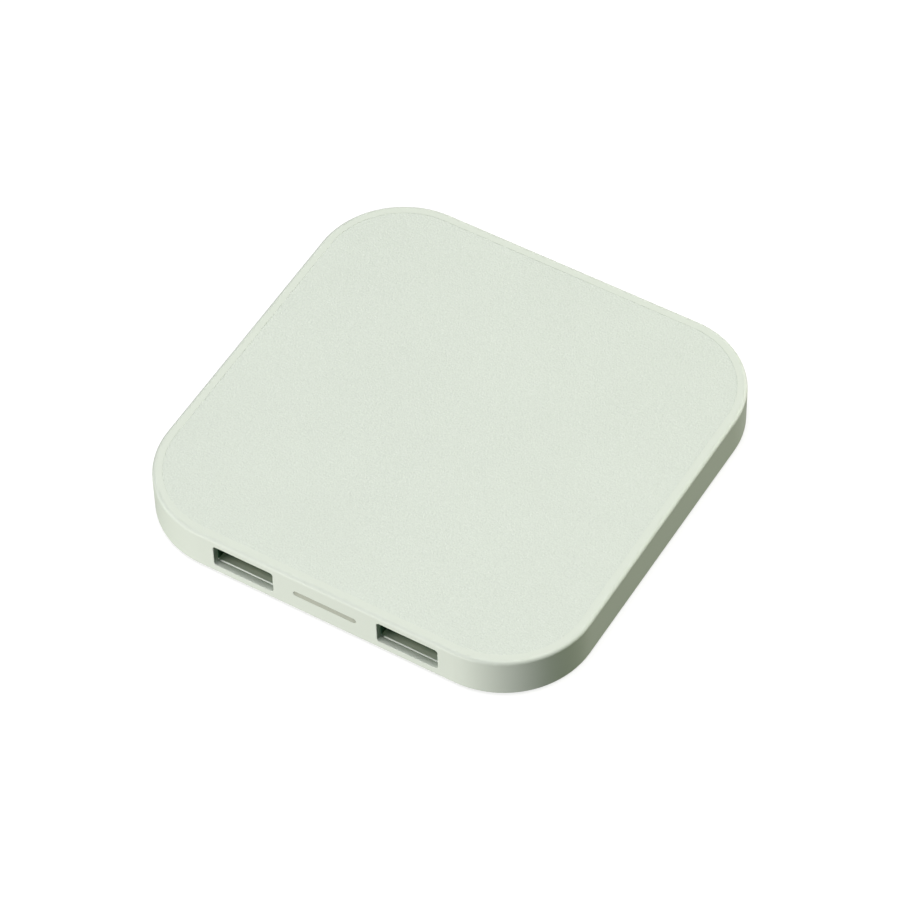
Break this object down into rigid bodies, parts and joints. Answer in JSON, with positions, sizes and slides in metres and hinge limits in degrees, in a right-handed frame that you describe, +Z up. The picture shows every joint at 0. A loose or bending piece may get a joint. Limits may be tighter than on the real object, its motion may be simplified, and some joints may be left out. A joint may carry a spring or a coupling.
{
  "type": "wireless charging pad",
  "caption": "Square wireless charging pad with rounded corners, a flush textured top, USB-A outlets and a status light bar in the front wall.",
  "frame": {"origin": "centre of the pad on the surface that it stands on", "axes": "+Z up out of the charging surface; -Y out of the front wall that has the USB-A outlets; +Y out of the rear wall that has the USB-C inlet; +X to the right seen from the front"},
  "size_m": [0.09, 0.09, 0.0095],
  "materials": {
    "body_plastic": "smooth satin, pale mint green",
    "plate_plastic": "fine spark-eroded texture, pale mint green",
    "adhesive": "thin double-sided tape",
    "screw_steel": "zinc-plated",
    "foot_silicone": "matt silicone",
    "light_diffuser": "frosted, lets light through",
    "led_package": "white package",
    "litz_wire": "enamelled copper strands",
    "ferrite": "dull dark grey",
    "foam": "closed-cell foam",
    "black_epoxy": "black moulding",
    "solder_mask": "green solder mask over glass fibre",
    "chip_package": "black moulded package",
    "ceramic": "brown ceramic with tinned ends",
    "resistor_black": "black film with tinned ends",
    "shell_steel": "plated sheet passivated dark green, rubbed bare at the outlets' mouths",
    "tongue_plastic": "very dark green, moulded",
    "contact_gold": "gold-plated"
  },
  "bodies": {
    "root": {"housing_frame": "body_plastic", "top_plate": "plate_plastic", "plate_adhesive": "adhesive", "bottom_cover": "body_plastic", "cover_screws": "screw_steel", "foot_front_left": "foot_silicone", "foot_front_right": "foot_silicone", "foot_rear_left": "foot_silicone", "foot_rear_right": "foot_silicone", "light_bar": "light_diffuser", "status_led_left": "led_package", "status_led_right": "led_package", "charging_coil": "litz_wire", "coil_leads": "litz_wire", "coil_adhesive": "adhesive", "ferrite_disc": "ferrite", "foam_spacers": "foam", "temperature_sensor": "black_epoxy", "circuit_board": "solder_mask", "board_screws": "screw_steel", "controller_chip": "chip_package", "usb_power_switch": "chip_package", "power_inductor": "ferrite", "bridge_transistors": "chip_package", "resonant_capacitors": "ceramic", "bulk_capacitors": "ceramic", "chip_capacitors": "ceramic", "chip_resistors": "resistor_black", "usb_a_left_shell": "shell_steel", "usb_a_left_tongue": "tongue_plastic", "usb_a_left_contacts": "contact_gold", "usb_a_right_shell": "shell_steel", "usb_a_right_tongue": "tongue_plastic", "usb_a_right_contacts": "contact_gold", "usb_c_shell": "shell_steel", "usb_c_tongue": "black_epoxy", "usb_c_contacts": "contact_gold"}
  },
  "joints": []
}
